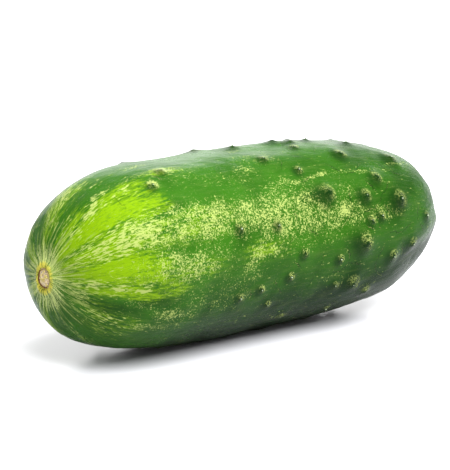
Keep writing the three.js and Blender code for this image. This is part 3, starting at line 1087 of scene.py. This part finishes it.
class CUCUMBER_OT_spine_scars(bpy.types.Operator):
    """Build the tiny stubs that the spines left on the warts"""

    bl_idname = "cucumber.add_spine_scars"
    bl_label = "Add Spine Scars"

    def execute(self, context):
        stand = WART_MOUND[0] + WART_CROWN[0] - STUB_SINK
        points, faces = [], []
        for index, (along, around, size, _) in enumerate(all_warts()):
            _, height = WART_SIZES[size]
            radius = STUB_RADIUS + STUB_RADIUS_STEP * (index % 4)
            stub, stub_faces = self.stub(along, around, radius, stand * height)
            faces += [tuple(corner + len(points) for corner in face) for face in stub_faces]
            points += stub.tolist()
        material = spine_material(context.scene.cucumber_colours)
        make_piece("spine_scars", BUILT["placement"].apply(np.array(points)), faces, material)
        return {"FINISHED"}

    def stub(self, along, around, radius, top):
        """A low rounded stub with a hollow top, standing on the wart."""
        sectors = 10
        point = body_point(along, around)
        normal = body_normal(np.array(float(along)), np.array(float(around)))
        _, direction, _, _ = axis_frame(along)
        across = np.cross(normal, direction)
        across /= np.linalg.norm(across)
        forward = np.cross(across, normal)
        rows = []
        for share, height in STUB_PROFILE:
            for s in range(sectors):
                angle = 2 * math.pi * s / sectors
                spread = forward * math.cos(angle) + across * math.sin(angle)
                rows.append(point + spread * radius * share + normal * (top + height))
        rows.append(point + normal * (top + STUB_FOOT))
        rows.append(point + normal * (top + STUB_HOLLOW))
        foot, crown = len(rows) - 2, len(rows) - 1
        faces = []
        last = (len(STUB_PROFILE) - 1) * sectors
        for s in range(sectors):
            e = (s + 1) % sectors
            faces.append((foot, s, e))
            faces.append((crown, last + e, last + s))
            for i in range(len(STUB_PROFILE) - 1):
                near, far = i * sectors, (i + 1) * sectors
                faces.append((near + s, far + s, far + e, near + e))
        return np.array(rows), faces


class CUCUMBER_OT_stage(bpy.types.Operator):
    """Set the floor, the lamps, the pale surroundings and the camera"""

    bl_idname = "cucumber.set_stage"
    bl_label = "Set Stage"

    def execute(self, context):
        scene = context.scene
        stage = scene.cucumber_stage
        low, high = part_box(NODE)
        centre = (low + high) / 2
        self.add_floor(scene, stage, low)
        self.add_lamps(scene, stage, centre)
        self.set_surroundings(scene)
        self.add_camera(scene, stage, centre)
        scene.view_settings.view_transform = "Standard"
        return {"FINISHED"}

    def add_floor(self, scene, stage, low):
        mesh = bpy.data.meshes.new("studio_floor")
        half = FLOOR_HALF_WIDTH
        corners = [(x, y, low.z) for x, y in ((-half, -half), (half, -half), (half, half), (-half, half))]
        mesh.from_pydata(corners, [], [(0, 1, 2, 3)])
        mesh.materials.append(floor_material(stage.floor))
        floor = bpy.data.objects.new("studio_floor", mesh)
        scene.collection.objects.link(floor)

    def add_lamps(self, scene, stage, centre):
        """Soft boxes that face the fruit. Each either lights it or gleams in its skin."""
        for name, offset, size, power, lights, gleams in LAMPS:
            light = bpy.data.lights.new(name, "AREA")
            light.shape = "RECTANGLE"
            light.size, light.size_y = size
            light.energy = power * stage.light
            lamp = bpy.data.objects.new(name, light)
            lamp.location = centre + Vector(offset)
            lamp.rotation_euler = (-Vector(offset)).to_track_quat("-Z", "Y").to_euler()
            lamp.visible_diffuse = lights
            lamp.visible_glossy = gleams
            scene.collection.objects.link(lamp)

    def set_surroundings(self, scene):
        world = bpy.data.worlds.new("studio")
        world.use_nodes = True
        background = world.node_tree.nodes["Background"]
        background.inputs["Color"].default_value = (1, 1, 1, 1)
        background.inputs["Strength"].default_value = SURROUNDINGS_STRENGTH
        scene.world = world

    def add_camera(self, scene, stage, centre):
        camera_data = bpy.data.cameras.new("studio_camera")
        camera_data.lens = stage.lens
        camera = bpy.data.objects.new("studio_camera", camera_data)
        aim = centre + Vector(CAMERA_AIM)
        a, e = stage.azimuth, stage.elevation
        back = Vector((math.sin(a) * math.cos(e), -math.cos(a) * math.cos(e), math.sin(e)))
        camera.location = aim + back * stage.distance
        level = (-back).to_track_quat("-Z", "Y")
        camera.rotation_euler = (level @ Quaternion((0, 0, 1), stage.roll)).to_euler()
        scene.collection.objects.link(camera)
        scene.camera = camera


# Panel and registration ---------------------------------------------------------------------------

PIECES = [CUCUMBER_OT_skin, CUCUMBER_OT_blossom_scar, CUCUMBER_OT_stem_scar, CUCUMBER_OT_spine_scars]


class CUCUMBER_PT_panel(bpy.types.Panel):
    """Lists the steps of building the cucumber"""

    bl_idname = "CUCUMBER_PT_panel"
    bl_label = "Field Cucumber"
    bl_space_type = "VIEW_3D"
    bl_region_type = "UI"
    bl_category = "Cucumber"

    def draw(self, context):
        layout = self.layout
        for operator in [*PIECES, CUCUMBER_OT_stage]:
            layout.operator(operator.bl_idname)
        for settings in (
            context.scene.cucumber_form, context.scene.cucumber_colours, context.scene.cucumber_stage,
        ):
            box = layout.box()
            for name in settings.__annotations__:
                box.prop(settings, name)


CLASSES = [CucumberForm, CucumberColours, CucumberStage, *PIECES, CUCUMBER_OT_stage, CUCUMBER_PT_panel]


def register():
    for item in CLASSES:
        bpy.utils.register_class(item)
    bpy.types.Scene.cucumber_form = PointerProperty(type=CucumberForm)
    bpy.types.Scene.cucumber_colours = PointerProperty(type=CucumberColours)
    bpy.types.Scene.cucumber_stage = PointerProperty(type=CucumberStage)


def unregister():
    del bpy.types.Scene.cucumber_form
    del bpy.types.Scene.cucumber_colours
    del bpy.types.Scene.cucumber_stage
    for item in reversed(CLASSES):
        bpy.utils.unregister_class(item)


def main():
    register()
    bpy.ops.cucumber.add_skin()
    bpy.ops.cucumber.add_blossom_scar()
    bpy.ops.cucumber.add_stem_scar()
    bpy.ops.cucumber.add_spine_scars()
    bpy.ops.cucumber.set_stage()


if __name__ == "__main__":
    main()
